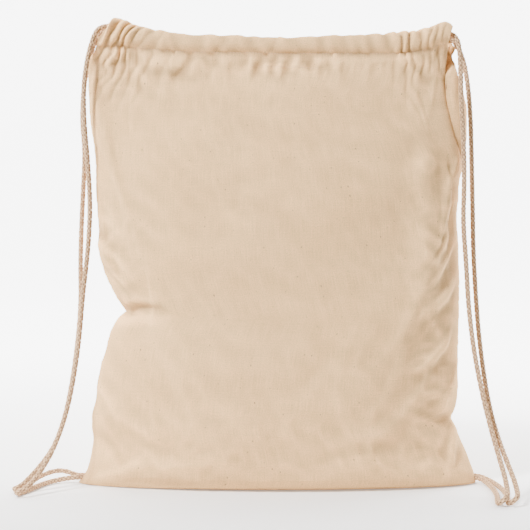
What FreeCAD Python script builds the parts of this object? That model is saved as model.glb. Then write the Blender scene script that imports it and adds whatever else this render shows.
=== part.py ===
"""A drawstring backpack of undyed cotton, standing upright and full.

X runs left to right across the front, -Y is the front and Z is up. The origin is on the floor
under the middle of the bag. All sizes are in millimetres.
"""
import FreeCAD, Part
import math
import os
import sys

import Sketcher

Vector = FreeCAD.Vector
RIGHT = Vector(1, 0, 0)
BACK = Vector(0, 1, 0)
UP = Vector(0, 0, 1)

os.makedirs("parts", exist_ok=True)
doc = FreeCAD.newDocument("drawstring_backpack")

# ---------------------------------------------------------------- driving dimensions
SIZES = {
    "cloth": 1.5,            # wall that stands for one layer of cloth
    "seam_edge": 5.0,        # width over which the two panels meet at a side seam
    # sections of a panel: height, depth of its face, half width at the seam, half of its flat middle
    "floor_depth": 40, "floor_half": 190, "floor_flat": 110,
    "low_height": 50, "low_depth": 54, "low_half": 180, "low_flat": 90,
    "belly_height": 170, "belly_depth": 58, "belly_half": 171, "belly_flat": 80,
    "shoulder_height": 300, "shoulder_depth": 44, "shoulder_half": 176, "shoulder_flat": 100,
    "flare_height": 370, "flare_depth": 20, "flare_half": 180, "flare_flat": 130,
    "neck_height": 394, "neck_half": 172,
    "rim_height": 421, "rim_half": 158,
    "neck_depth": 10.75, "neck_flat": 150,
    # casings: the folded tunnels along the top of the two panels
    "casing_half": 152, "casing_tall": 18, "casing_deep": 12, "casing_wall": 1.2,
    "casing_centre": 10, "hem_tall": 8,
    # cords
    "cord_diameter": 5, "cord_spacing": 6.8, "cord_end": 155, "turn_centre": 160,
    # seam allowances, threads, tacks and the label
    "allowance": 8, "allowance_thick": 1.2, "allowance_start": 12, "fold_gap": 0.8,
    "overlock": 1.6, "bottom_seam_half": 175,
    "stitch_long": 3, "stitch_pitch": 4, "stitch_tall": 0.8, "stitch_deep": 0.6, "thread": 0.3,
    "casing_row_height": 416, "casing_row_half": 148,
    "label_wide": 45, "label_tall": 17, "label_thick": 0.8, "label_top": 412,
    "label_row_height": 397, "label_row_half": 30,
    "corner_tack_near": 175.5, "corner_tack_long": 4, "corner_tack_deep": 8, "corner_tack_tall": 9,
    "slit_tack_long": 1.6, "slit_tack_deep": 6, "slit_tack_tall": 4,
}

sheet = doc.addObject("Spreadsheet::Sheet", "Sizes")
for row, (name, value) in enumerate(SIZES.items(), start=1):
    sheet.set("A%d" % row, name)
    sheet.set("B%d" % row, str(value))
    sheet.setAlias("B%d" % row, name)
doc.recompute()


def cell(text):
    """An expression on cells, written with @ before the name of each cell."""
    return text.replace("@", "Sizes.")


def worth(text):
    """The number that such an expression stands for."""
    return float(sheet.evalExpression(cell(text)))


# ---------------------------------------------------------------- sketches
def new_body(name):
    body = doc.addObject("PartDesign::Body", name)
    body.Label = name
    return body


def new_sketch(body, name, role, offset="0"):
    """A sketch on one of the body's own origin planes, moved along its normal."""
    sketch = body.newObject("Sketcher::SketchObject", name)
    plane = [item for item in body.Origin.OriginFeatures if item.Role == role][0]
    sketch.AttachmentSupport = [(plane, "")]
    sketch.MapMode = "FlatFace"
    sketch.setExpression("AttachmentOffset.Base.z", cell(offset))
    return sketch


def ends_at(sketch, x, y, first=0):
    """Every (edge, vertex) that lies at a point, among the edges from number first on."""
    found = []
    for edge in range(first, sketch.GeometryCount):
        for vertex in (1, 2):
            point = sketch.getPoint(edge, vertex)
            if math.hypot(point.x - x, point.y - y) < 1e-4:
                found.append((edge, vertex))
    return found


def heading(sketch, edge, vertex):
    """The direction of an edge at one of its ends."""
    curve = sketch.Geometry[edge]
    return curve.tangent(curve.FirstParameter if vertex == 1 else curve.LastParameter)[0]


def draw(sketch, edges):
    """Add edges, join the ends that meet, and keep each arc smooth with one of its neighbours."""
    first = sketch.GeometryCount
    sketch.addGeometry(edges)
    joined, smooth = set(), set()
    for edge in range(first, sketch.GeometryCount):
        for vertex in (1, 2):
            point = sketch.getPoint(edge, vertex)
            meeting = ends_at(sketch, point.x, point.y, first)
            if len(meeting) != 2 or meeting[0] in joined:
                continue
            joined.update(meeting)
            arcs = {end[0] for end in meeting if hasattr(sketch.Geometry[end[0]], "Radius")}
            bend = heading(sketch, *meeting[0]).cross(heading(sketch, *meeting[1])).Length
            kind = "Coincident"
            if arcs and not arcs & smooth and bend < 1e-4:
                kind = "Tangent"
                smooth |= arcs
            sketch.addConstraint(Sketcher.Constraint(kind, *meeting[0], *meeting[1]))


def fix(sketch, x, y):
    """Tie the end at (x, y), two expressions, to the origin; the word axis puts it on that axis."""
    end = ends_at(sketch, 0 if x == "axis" else worth(x), 0 if y == "axis" else worth(y))[0]
    for kind, text in (("X", x), ("Y", y)):
        if text == "axis":
            axis = -2 if kind == "X" else -1
            sketch.addConstraint(Sketcher.Constraint("PointOnObject", *end, axis))
            continue
        value = worth(text)
        ends = ((-1, 1), end) if value > 0 else (end, (-1, 1))
        index = sketch.addConstraint(
            Sketcher.Constraint("Distance" + kind, *ends[0], *ends[1], abs(value)))
        sketch.setExpression("Constraints[%d]" % index, cell(text if value > 0 else "-(%s)" % text))


def line(x1, y1, x2, y2):
    return Part.LineSegment(Vector(x1, y1, 0), Vector(x2, y2, 0))


def arc(start, through, end):
    """The arc over three points, drawn anticlockwise, as a sketch keeps it."""
    curve = Part.Arc(start, through, end).toShape().Curve
    if curve.Axis.z < 0:
        start, end = end, start
    first, last = (math.atan2(point.y - curve.Center.y, point.x - curve.Center.x)
                   for point in (start, end))
    return Part.ArcOfCircle(Part.Circle(curve.Center, UP, curve.Radius), first, last)


def rectangle(sketch, low_x, low_y, high_x, high_y):
    """A rectangle whose sides are expressions on cells."""
    x1, y1, x2, y2 = (worth(text) for text in (low_x, low_y, high_x, high_y))
    draw(sketch, [line(x1, y1, x2, y1), line(x2, y1, x2, y2),
                  line(x2, y2, x1, y2), line(x1, y2, x1, y1)])
    for edge, kind in ((0, "Horizontal"), (1, "Vertical"), (2, "Horizontal"), (3, "Vertical")):
        sketch.addConstraint(Sketcher.Constraint(kind, edge))
    fix(sketch, low_x, low_y)
    fix(sketch, high_x, high_y)


def mirrored(source, name, normal):
    """The same piece on the other side of the bag."""
    item = doc.addObject("Part::Mirroring", name)
    item.Label = name
    item.Source = source
    item.Normal = normal
    return item


# ---------------------------------------------------------------- panels
SECTIONS = [
    # height, depth of the face, half width at the seam, half of the flat middle
    ("0", "@floor_depth", "@floor_half", "@floor_flat"),
    ("@low_height", "@low_depth", "@low_half", "@low_flat"),
    ("@belly_height", "@belly_depth", "@belly_half", "@belly_flat"),
    ("@shoulder_height", "@shoulder_depth", "@shoulder_half", "@shoulder_flat"),
    ("@flare_height", "@flare_depth", "@flare_half", "@flare_flat"),
    ("@neck_height", "@neck_depth", "@neck_half", "@neck_flat"),
    ("@rim_height", "@neck_depth", "@rim_half", "@neck_flat"),
]


def corner_arc(half, depth, flat, side):
    """The arc from the seam at (half, 0) that runs smoothly into the face at (flat, -depth)."""
    radius = ((half - flat) ** 2 + depth ** 2) / (2 * depth)
    centre_y = radius - depth
    seam_angle = math.atan2(-centre_y, half - flat)
    middle = (seam_angle - math.pi / 2) / 2
    return arc(Vector(side * half, 0, 0),
               Vector(side * (flat + radius * math.cos(middle)),
                      centre_y + radius * math.sin(middle), 0),
               Vector(side * flat, -depth, 0))


def half_outline(half, depth, flat):
    """The bag's outline on the front side of the seams: an arc, the flat face, an arc."""
    return [corner_arc(half, depth, flat, -1), line(-flat, -depth, flat, -depth),
            corner_arc(half, depth, flat, 1)]


def hold_outline(sketch, half, depth, flat):
    """Bind the four corners of an outline to cells, the left ones as mirror images."""
    fix(sketch, half, "axis")
    fix(sketch, flat, "-(%s)" % depth)
    for x, y in ((worth(half), 0), (worth(flat), -worth(depth))):
        right = ends_at(sketch, x, y)[0]
        left = ends_at(sketch, -x, y)[0]
        sketch.addConstraint(Sketcher.Constraint("Symmetric", *left, *right, -2))


def make_panel(name):
    """One panel of cloth: half of the bottom, and the wall that rises from it to the casing."""
    body = new_body(name)
    base = new_sketch(body, name + "_base", "XY_Plane")
    _, depth, half, flat = SECTIONS[0]
    draw(base, half_outline(worth(half), worth(depth), worth(flat))
         + [line(-worth(half), 0, worth(half), 0)])
    hold_outline(base, half, depth, flat)
    bottom = body.newObject("PartDesign::Pad", name + "_bottom")
    bottom.Profile = base
    bottom.setExpression("Length", cell("@cloth"))
    sections = []
    for number, (height, depth, half, flat) in enumerate(SECTIONS):
        sketch = new_sketch(body, "%s_section_%d" % (name, number), "XY_Plane", height)
        inner_half = "%s - @seam_edge" % half
        inner_depth = "%s - @cloth" % depth
        outer = half_outline(worth(half), worth(depth), worth(flat))
        inner = half_outline(worth(inner_half), worth(inner_depth), worth(flat))
        ends = [line(side * worth(half), 0, side * worth(inner_half), 0) for side in (1, -1)]
        draw(sketch, outer + inner + ends)
        hold_outline(sketch, half, depth, flat)
        hold_outline(sketch, inner_half, inner_depth, flat)
        sections.append(sketch)
    wall = body.newObject("PartDesign::AdditiveLoft", name + "_wall")
    wall.Profile = sections[0]
    wall.Sections = [(sketch, [""]) for sketch in sections[1:]]
    wall.Ruled = True
    body.Tip = wall
    return body


# ---------------------------------------------------------------- casings
def slot_edges(centre, middle, radius, reach):
    """A slot that stands upright: two arcs whose centres are reach above and below the middle."""
    low, high = middle - reach, middle + reach
    return [arc(Vector(centre - radius, high, 0), Vector(centre, high + radius, 0),
                Vector(centre + radius, high, 0)),
            line(centre + radius, high, centre + radius, low),
            arc(Vector(centre + radius, low, 0), Vector(centre, low - radius, 0),
                Vector(centre - radius, low, 0)),
            line(centre - radius, low, centre - radius, high)]


def make_casing(name):
    """The tunnel for the cords, with the hem that is stitched to the inside of the panel."""
    body = new_body(name)
    tunnel_sketch = new_sketch(body, name + "_section", "YZ_Plane")
    middle = "@rim_height + @casing_tall / 2"
    reach = "(@casing_tall - @casing_deep) / 2"
    for radius in ("@casing_deep / 2", "@casing_deep / 2 - @casing_wall"):
        edges = slot_edges(-worth("@casing_centre"), worth(middle), worth(radius), worth(reach))
        draw(tunnel_sketch, edges)
        for side in (-1, 1):
            x = "-@casing_centre + %d * (%s)" % (side, radius)
            for end in (-1, 1):
                fix(tunnel_sketch, x, "%s + %d * %s" % (middle, end, reach))
    tunnel = body.newObject("PartDesign::Pad", name + "_tunnel")
    tunnel.Profile = tunnel_sketch
    tunnel.SideType = "Symmetric"
    tunnel.setExpression("Length", cell("2 * @casing_half"))
    hem_sketch = new_sketch(body, name + "_hem_section", "YZ_Plane")
    rectangle(hem_sketch, "-@neck_depth + @cloth", "@rim_height - @hem_tall",
              "-@neck_depth + @cloth + @casing_wall", "@rim_height + @casing_wall / 2")
    hem = body.newObject("PartDesign::Pad", name + "_hem")
    hem.Profile = hem_sketch
    hem.SideType = "Symmetric"
    hem.setExpression("Length", cell("2 * @neck_flat"))
    body.Tip = hem
    return body


def make_stitching(name, height, half):
    """A row of running stitches on the outside of the front panel, joined by their thread."""
    body = new_body(name)
    row = new_sketch(body, name + "_row", "XZ_Plane", "@neck_depth")
    rectangle(row, "-%s" % half, "%s - @thread / 2" % height, half, "%s + @thread / 2" % height)
    thread = body.newObject("PartDesign::Pad", name + "_thread")
    thread.Profile = row
    thread.setExpression("Length", cell("@thread"))
    outline = new_sketch(body, name + "_outline", "XZ_Plane", "@neck_depth")
    rectangle(outline, "-%s" % half, "%s - @stitch_tall / 2" % height,
              "-%s + @stitch_long" % half, "%s + @stitch_tall / 2" % height)
    stitch = body.newObject("PartDesign::Pad", name + "_stitch")
    stitch.Profile = outline
    stitch.setExpression("Length", cell("@stitch_deep"))
    doc.recompute()
    pattern = body.newObject("PartDesign::LinearPattern", name + "_pattern")
    pattern.Originals = [stitch]
    pattern.Direction = (outline, ["H_Axis"])
    pattern.setExpression("Length", cell("2 * %s - @stitch_pitch" % half))
    pattern.setExpression("Occurrences", cell("floor(2 * %s / @stitch_pitch)" % half))
    body.Tip = pattern
    return body


# ---------------------------------------------------------------- side seams
def make_seam_strip(name, inset, wide):
    """A strip inside the left side seam, from the bottom corner up to the slit."""
    body = new_body(name)
    slope = "(@floor_half - @low_half) / @low_height"
    start = ("@allowance_start", "@floor_half - @allowance_start * %s" % slope)
    heights = [start] + [(height, half) for height, _, half, _ in SECTIONS[1:6]]
    sections = []
    for number, (height, half) in enumerate(heights):
        sketch = new_sketch(body, "%s_section_%d" % (name, number), "XY_Plane", height)
        outer = "-(%s) + @seam_edge + %s" % (half, inset)
        rectangle(sketch, outer, "-@allowance_thick / 2", "%s + %s" % (outer, wide),
                  "@allowance_thick / 2")
        sections.append(sketch)
    strip = body.newObject("PartDesign::AdditiveLoft", name + "_strip")
    strip.Profile = sections[0]
    strip.Sections = [(sketch, [""]) for sketch in sections[1:]]
    strip.Ruled = True
    body.Tip = strip
    return body


# ---------------------------------------------------------------- cords in the casings
def make_drawcord(name, side, level):
    """A cord that enters the casing on its own side, turns at the other side and comes back."""
    body = new_body(name)
    height = "@rim_height + @casing_tall / 2 + %s" % level
    near = "%d * @cord_end" % side
    far = "%d * @turn_centre" % -side
    centre = "@casing_centre"
    path = new_sketch(body, name + "_path", "XY_Plane", height)
    x1, x2, y = worth(near), worth(far), worth(centre)
    bend = x2 - side * y
    draw(path, [line(x1, -y, x2, -y),
                arc(Vector(x2, -y, 0), Vector(bend, 0, 0), Vector(x2, y, 0)),
                line(x2, y, x1, y)])
    for x in (near, far):
        for y_side in ("-@casing_centre", "@casing_centre"):
            fix(path, x, y_side)
    section = new_sketch(body, name + "_section", "YZ_Plane", near)
    section.addGeometry(Part.Circle(Vector(-y, worth(height), 0), UP, worth("@cord_diameter") / 2))
    for constraint, text in ((Sketcher.Constraint("DistanceX", 0, 3, -1, 1, y), centre),
                             (Sketcher.Constraint("DistanceY", -1, 1, 0, 3, worth(height)), height),
                             (Sketcher.Constraint("Diameter", 0, worth("@cord_diameter")),
                              "@cord_diameter")):
        index = section.addConstraint(constraint)
        section.setExpression("Constraints[%d]" % index, cell(text))
    cord = body.newObject("PartDesign::AdditivePipe", name + "_cord")
    cord.Profile = section
    cord.Spine = (path, ["Edge1", "Edge2", "Edge3"])
    body.Tip = cord
    return body


# ---------------------------------------------------------------- cords that hang free
# Each route runs from the mouth of the casing down to the floor, folds back and enters the corner.
ROUTES = {
    "left_front_fall": [
        (-155, -10, 433.4), (-163, -10, 433.4), (-169.5, -12, 429.5), (-174, -14, 418),
        (-178, -16, 402), (-181.5, -18, 376), (-181, -18.5, 342), (-177.5, -17.5, 304),
        (-175.5, -17, 262), (-178, -18, 221), (-183, -19.5, 180), (-186, -22, 139),
        (-191, -27, 101), (-197, -34, 70), (-206, -44, 42), (-216, -54, 23),
        (-224, -62, 12), (-231, -70, 7), (-236.6, -67.9, 4.8), (-237, -62, 2.7),
        (-231.5, -52, 2.7), (-226, -34, 2.7), (-219, -14, 2.7), (-209, -3, 3.2),
        (-198, -2.4, 5), (-188, -3, 6), (-178.5, -3, 6)],
    "left_back_fall": [
        (-155, 10, 433.4), (-163, 10, 433.4), (-169.5, 11.8, 430), (-175.5, 10.5, 419),
        (-180.5, 9, 402), (-185, 8.5, 378), (-186.5, 7, 347), (-183.5, 5, 317),
        (-185, 4, 284), (-187, 3.5, 247), (-188, 2, 210), (-187, -2, 172),
        (-189.5, -8, 135), (-194, -14, 98), (-199.5, -21, 67), (-207, -30, 43),
        (-217, -37.5, 27), (-230, -46.5, 12.5), (-236.5, -53, 7), (-242.1, -50.9, 4.8),
        (-242.5, -45, 2.7), (-239, -34, 2.7), (-233.5, -15, 3.5), (-226, 2, 6.5),
        (-214, 11, 9.5), (-203, 9.5, 9), (-195, 4, 7), (-187, 3, 6), (-179, 3, 6)],
    "right_front_fall": [
        (155, -10, 426.6), (162.5, -10, 426.6), (168.5, -12, 421.5), (170.5, -15, 409),
        (171, -17, 391), (171.5, -18, 362), (174, -18.5, 325), (175, -18, 285),
        (173.8, -17.5, 250), (177, -18, 212), (179, -19.5, 172), (183, -25, 132),
        (189, -36, 93), (195.5, -49, 60), (201, -63, 35), (203.5, -79, 19.5),
        (202.8, -92, 12.5), (201, -103, 9.5), (196.7, -106.2, 6), (192.5, -103, 2.7),
        (194, -91.5, 2.7), (197.5, -73, 2.7), (199.5, -45, 2.7), (198.5, -21, 3),
        (195, -7, 4.5), (187.5, -3, 6), (179, -3, 6)],
    "right_back_fall": [
        (155, 10, 426.6), (162.5, 10, 426.6), (169.5, 9, 421), (174, 6, 411.5),
        (177.5, 0.5, 398), (180, -6, 376), (182, -9, 345), (183.3, -8, 305),
        (184.5, -7.5, 262), (185.3, -7.8, 222), (187.5, -9, 182), (190, -13, 143),
        (193.5, -22, 106), (197.5, -32, 75), (203, -48, 49), (208.5, -66, 29.5),
        (211, -82, 18.5), (211, -94, 12.5), (210, -104, 9.5), (205.7, -107.2, 6),
        (201.5, -104, 2.7), (203, -92.5, 2.7), (206.5, -74, 2.7), (208, -46, 2.7),
        (205.5, -20, 2.8), (200.5, -5, 4), (194.5, 2, 5.5), (187, 3, 6), (180, 3, 6)],
}
ARC_SHARE = 0.45   # part of the shorter run that each arc takes


def rounded_path(points):
    """Straight runs joined by arcs that touch them, each as large as its two runs allow."""
    edges, radii = [], []
    begin = points[0]
    for before, corner, after in zip(points, points[1:], points[2:]):
        arriving = (corner - before).normalize()
        leaving = (after - corner).normalize()
        turn = arriving.getAngle(leaving)
        reach = ARC_SHARE * min(corner.distanceToPoint(before), corner.distanceToPoint(after))
        start = corner - arriving * reach
        end = corner + leaving * reach
        radius = reach / math.tan(turn / 2)
        middle_way = (leaving - arriving).normalize()
        middle = corner + middle_way * (radius / math.cos(turn / 2) - radius)
        edges.append(Part.LineSegment(begin, start).toShape())
        edges.append(Part.Arc(start, middle, end).toShape())
        radii.append(radius)
        begin = end
    edges.append(Part.LineSegment(begin, points[-1]).toShape())
    return Part.Wire(edges), radii


def make_fall(name, points):
    """A free stretch of cord, swept along its rounded path."""
    points = [Vector(*point) for point in points]
    wire, radii = rounded_path(points)
    path = doc.addObject("Part::Feature", name + "_path")
    path.Shape = wire
    section = doc.addObject("Part::Circle", name + "_section")
    section.setExpression("Radius", cell("@cord_diameter / 2"))
    section.Placement = FreeCAD.Placement(points[0], FreeCAD.Rotation(UP, points[1] - points[0]))
    fall = doc.addObject("Part::Sweep", name)
    fall.Label = name
    fall.Sections = [section]
    fall.Spine = (path, ["Edge%d" % number for number in range(1, len(wire.Edges) + 1)])
    fall.Solid = True
    print("%s: %.0f mm long, radii %s" % (name, wire.Length, " ".join("%.1f" % r for r in radii)))
    return fall, wire.Length


# ---------------------------------------------------------------- blocks
def make_block(name, sizes, corner):
    """A plain block: three sizes and its lowest corner, all expressions on cells."""
    block = doc.addObject("Part::Box", name)
    block.Label = name
    for side, text in zip(("Length", "Width", "Height"), sizes):
        block.setExpression(side, cell(text))
    for axis, text in zip("xyz", corner):
        block.setExpression("Placement.Base." + axis, cell(text))
    return block


# ---------------------------------------------------------------- the bag
front_panel = make_panel("front_panel")
front_casing = make_casing("front_casing")
front_stitching = make_stitching("front_casing_stitching", "@casing_row_height", "@casing_row_half")
left_seam = make_seam_strip("left_side_seam", "@fold_gap", "@allowance")
left_overlock = make_seam_strip("left_seam_overlock", "@fold_gap + @allowance", "@overlock")

pieces = [
    front_panel, mirrored(front_panel, "back_panel", BACK),
    front_casing, mirrored(front_casing, "back_casing", BACK),
    front_stitching, mirrored(front_stitching, "back_casing_stitching", BACK),
    left_seam, mirrored(left_seam, "right_side_seam", RIGHT),
    left_overlock, mirrored(left_overlock, "right_seam_overlock", RIGHT),
    make_block("bottom_seam", ("2 * @bottom_seam_half", "@allowance_thick", "@allowance"),
               ("-@bottom_seam_half", "-@allowance_thick / 2", "@cloth")),
    make_block("bottom_seam_overlock", ("2 * @bottom_seam_half", "@overlock", "@overlock"),
               ("-@bottom_seam_half", "-@overlock / 2", "@cloth + @allowance")),
    make_block("inner_label", ("@label_wide", "@label_thick", "@label_tall"),
               ("-@label_wide / 2", "-@neck_depth + @cloth", "@label_top - @label_tall")),
    make_stitching("label_stitching", "@label_row_height", "@label_row_half"),
    make_drawcord("left_drawcord", -1, "@cord_spacing / 2"),
    make_drawcord("right_drawcord", 1, "-@cord_spacing / 2"),
]
corner_tack = make_block(
    "left_corner_tack", ("@corner_tack_long", "@corner_tack_deep", "@corner_tack_tall"),
    ("-@corner_tack_near - @corner_tack_long", "-@corner_tack_deep / 2", "@cloth"))
slit_tack = make_block(
    "left_slit_tack", ("@slit_tack_long", "@slit_tack_deep", "@slit_tack_tall"),
    ("-@neck_half - @slit_tack_long", "-@slit_tack_deep / 2", "@neck_height"))
pieces += [corner_tack, mirrored(corner_tack, "right_corner_tack", RIGHT),
           slit_tack, mirrored(slit_tack, "right_slit_tack", RIGHT)]

falls = {}
for name, route in ROUTES.items():
    fall, length = make_fall(name, route)
    falls[name] = length
    pieces.append(fall)

# ---------------------------------------------------------------- checks and files
doc.recompute()
problems = ["%s: %s" % (item.Name, ", ".join(item.State)) for item in doc.Objects
            if "Invalid" in item.State or "Error" in item.State]
for piece in pieces:
    if piece.Shape.isNull() or not piece.Shape.isValid():
        problems.append(piece.Label + ": no valid shape")
if problems:
    sys.exit("\n".join(problems))

cord_area = math.pi * worth("@cord_diameter") ** 2 / 4
for piece in pieces:
    box = piece.Shape.BoundBox
    print("%-24s solids %d  volume %9.1f  x %.1f..%.1f  y %.1f..%.1f  z %.1f..%.1f" % (
        piece.Label, len(piece.Shape.Solids), piece.Shape.Volume,
        box.XMin, box.XMax, box.YMin, box.YMax, box.ZMin, box.ZMax))
    if piece.Label in falls:
        print("    volume over section times length: %.4f" % (
            piece.Shape.Volume / (cord_area * falls[piece.Label])))
    piece.Shape.exportStep("parts/%s.step" % piece.Label)
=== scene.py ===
import math

import bmesh
import bpy
import numpy as np
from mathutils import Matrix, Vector, noise
from mathutils.kdtree import KDTree


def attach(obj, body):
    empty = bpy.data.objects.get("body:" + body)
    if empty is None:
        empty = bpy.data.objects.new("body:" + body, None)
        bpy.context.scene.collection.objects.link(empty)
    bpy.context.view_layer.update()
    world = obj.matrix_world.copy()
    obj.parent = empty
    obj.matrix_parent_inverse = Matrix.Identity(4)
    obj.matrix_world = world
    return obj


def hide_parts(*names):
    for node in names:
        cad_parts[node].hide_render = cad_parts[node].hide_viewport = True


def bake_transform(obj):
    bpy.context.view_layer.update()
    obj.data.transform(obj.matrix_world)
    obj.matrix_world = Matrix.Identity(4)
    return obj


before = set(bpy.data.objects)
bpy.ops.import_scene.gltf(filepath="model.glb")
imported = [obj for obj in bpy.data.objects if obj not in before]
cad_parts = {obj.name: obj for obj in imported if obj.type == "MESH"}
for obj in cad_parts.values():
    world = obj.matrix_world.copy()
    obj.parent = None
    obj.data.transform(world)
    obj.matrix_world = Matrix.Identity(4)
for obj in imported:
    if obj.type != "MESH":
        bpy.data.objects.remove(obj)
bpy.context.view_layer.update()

mm = 0.001   # the lists below are in millimetres, as the maker measures


# shader expressions: a Wire wraps a socket, and arithmetic on it adds Math nodes
class Wire:
    def __init__(self, tree, socket):
        self.tree = tree
        self.socket = socket

    def node(self, kind, settings=None, inputs=None, output=0):
        return addNode(self.tree, kind, settings, inputs, output)

    def combine(self, operation, first, second):
        return self.node("ShaderNodeMath", {"operation": operation}, {0: first, 1: second})

    def __add__(self, other):
        return self.combine("ADD", self, other)

    def __sub__(self, other):
        return self.combine("SUBTRACT", self, other)

    def __rsub__(self, other):
        return self.combine("SUBTRACT", other, self)

    def __mul__(self, other):
        return self.combine("MULTIPLY", self, other)

    def __gt__(self, other):
        return self.combine("GREATER_THAN", self, other)

    def __pow__(self, other):
        return self.combine("POWER", self, other)

    __radd__ = __add__
    __rmul__ = __mul__


def addNode(tree, kind, settings=None, inputs=None, output=0):
    node = tree.nodes.new(kind)
    for key, value in (settings or {}).items():
        if key == "stops":
            for element, (place, colour) in zip(node.color_ramp.elements, value):
                element.position = place
                element.color = (*colour, 1)
        else:
            setattr(node, key, value)
    for key, value in (inputs or {}).items():
        if isinstance(value, Wire):
            tree.links.new(value.socket, node.inputs[key])
        else:
            node.inputs[key].default_value = value
    return Wire(tree, node.outputs[output])


def newMaterial(name, roughness, sheen):
    material = bpy.data.materials.new(name)
    material.use_nodes = True
    tree = material.node_tree
    shader = tree.nodes["Principled BSDF"]
    shader.inputs["Roughness"].default_value = roughness
    shader.inputs["Sheen Weight"].default_value = sheen
    shader.inputs["Sheen Roughness"].default_value = 0.6
    shader.inputs["Specular IOR Level"].default_value = 0.12
    return material, tree, shader


def mixColours(tree, factor, first, second, blend="MIX"):
    node = tree.nodes.new("ShaderNodeMix")
    node.data_type = "RGBA"
    node.blend_type = blend
    for socket, value in ((node.inputs[0], factor), (node.inputs[6], first), (node.inputs[7], second)):
        if isinstance(value, Wire):
            tree.links.new(value.socket, socket)
        elif hasattr(value, "__len__"):
            socket.default_value = (*value, 1)
        else:
            socket.default_value = value
    return Wire(tree, node.outputs[2])


def bump(tree, shader, height, strength, distance):
    normal = addNode(tree, "ShaderNodeBump", None,
                     {"Height": height, "Strength": strength, "Distance": distance})
    tree.links.new(normal.socket, shader.inputs["Normal"])


view = {"height": 250, "distance": 1200, "side": -11.8, "lens": 85.584906, "sensor": 36, "tilt": 1.98}


def placeCamera():
    data = bpy.data.cameras.new("camera")
    data.sensor_width = view["sensor"]
    data.lens = view["lens"]
    data.clip_end = 20
    camera = bpy.data.objects.new("camera", data)
    bpy.context.collection.objects.link(camera)
    camera.location = Vector((view["side"], -view["distance"], view["height"])) * mm
    camera.rotation_euler = (math.radians(90 - view["tilt"]), 0, 0)
    bpy.context.scene.camera = camera


placeCamera()
print("camera placed")

cord = {
    "diameter": 5, "carriers": 8, "strand": 1.75, "pitch": 17.5,
    "step": 1.25, "weaveDepth": 0.32, "core": 1.5,
}

# each route runs from the mouth of the casing down to the floor, folds back and enters the corner
routes = {
    "left_front_fall": [
        (-155, -10, 433.4), (-163, -10, 433.4), (-169.5, -12, 429.5), (-174, -14, 418),
        (-178, -16, 402), (-181.5, -18, 376), (-181, -18.5, 342), (-177.5, -17.5, 304),
        (-175.5, -17, 262), (-178, -18, 221), (-183, -19.5, 180), (-186, -22, 139),
        (-191, -27, 101), (-197, -34, 70), (-206, -44, 42), (-216, -54, 23),
        (-224, -62, 12), (-231, -70, 7), (-236.6, -67.9, 4.8), (-237, -62, 2.7),
        (-231.5, -52, 2.7), (-226, -34, 2.7), (-219, -14, 2.7), (-209, -3, 3.2),
        (-198, -2.4, 5), (-188, -3, 6), (-178.5, -3, 6)],
    "left_back_fall": [
        (-155, 10, 433.4), (-163, 10, 433.4), (-169.5, 11.8, 430), (-175.5, 10.5, 419),
        (-180.5, 9, 402), (-185, 8.5, 378), (-186.5, 7, 347), (-183.5, 5, 317),
        (-185, 4, 284), (-187, 3.5, 247), (-188, 2, 210), (-187, -2, 172),
        (-189.5, -8, 135), (-194, -14, 98), (-199.5, -21, 67), (-207, -30, 43),
        (-217, -37.5, 27), (-230, -46.5, 12.5), (-236.5, -53, 7), (-242.1, -50.9, 4.8),
        (-242.5, -45, 2.7), (-239, -34, 2.7), (-233.5, -15, 3.5), (-226, 2, 6.5),
        (-214, 11, 9.5), (-203, 9.5, 9), (-195, 4, 7), (-187, 3, 6), (-179, 3, 6)],
    "right_front_fall": [
        (155, -10, 426.6), (162.5, -10, 426.6), (168.5, -12, 421.5), (170.5, -15, 409),
        (171, -17, 391), (171.5, -18, 362), (174, -18.5, 325), (175, -18, 285),
        (173.8, -17.5, 250), (177, -18, 212), (179, -19.5, 172), (183, -25, 132),
        (189, -36, 93), (195.5, -49, 60), (201, -63, 35), (203.5, -79, 19.5),
        (202.8, -92, 12.5), (201, -103, 9.5), (196.7, -106.2, 6), (192.5, -103, 2.7),
        (194, -91.5, 2.7), (197.5, -73, 2.7), (199.5, -45, 2.7), (198.5, -21, 3),
        (195, -7, 4.5), (187.5, -3, 6), (179, -3, 6)],
    "right_back_fall": [
        (155, 10, 426.6), (162.5, 10, 426.6), (169.5, 9, 421), (174, 6, 411.5),
        (177.5, 0.5, 398), (180, -6, 376), (182, -9, 345), (183.3, -8, 305),
        (184.5, -7.5, 262), (185.3, -7.8, 222), (187.5, -9, 182), (190, -13, 143),
        (193.5, -22, 106), (197.5, -32, 75), (203, -48, 49), (208.5, -66, 29.5),
        (211, -82, 18.5), (211, -94, 12.5), (210, -104, 9.5), (205.7, -107.2, 6),
        (201.5, -104, 2.7), (203, -92.5, 2.7), (206.5, -74, 2.7), (208, -46, 2.7),
        (205.5, -20, 2.8), (200.5, -5, 4), (194.5, 2, 5.5), (187, 3, 6), (180, 3, 6)],
}


# points along a NURBS spline
def readLine(points):
    curve = bpy.data.curves.new("route", "CURVE")
    curve.dimensions = "3D"
    curve.resolution_u = 16
    spline = curve.splines.new("NURBS")
    spline.points.add(len(points) - 1)
    for point, place in zip(spline.points, points):
        point.co = (*(Vector(place) * mm), 1)
    spline.order_u = 3
    spline.use_endpoint_u = True
    holder = bpy.data.objects.new("route", curve)
    mesh = bpy.data.meshes.new_from_object(holder)
    line = np.array([vertex.co for vertex in mesh.vertices])
    bpy.data.objects.remove(holder)
    bpy.data.meshes.remove(mesh)
    return line


# the same line with evenly spaced points, and its length
def evenly(line, step):
    runs = np.linalg.norm(np.diff(line, axis=0), axis=1)
    along = np.concatenate([[0], np.cumsum(runs)])
    count = max(2, int(round(along[-1] / step)) + 1)
    places = np.linspace(0, along[-1], count)
    return np.stack([np.interp(places, along, line[:, axis]) for axis in range(3)], 1), along[-1]


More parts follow.
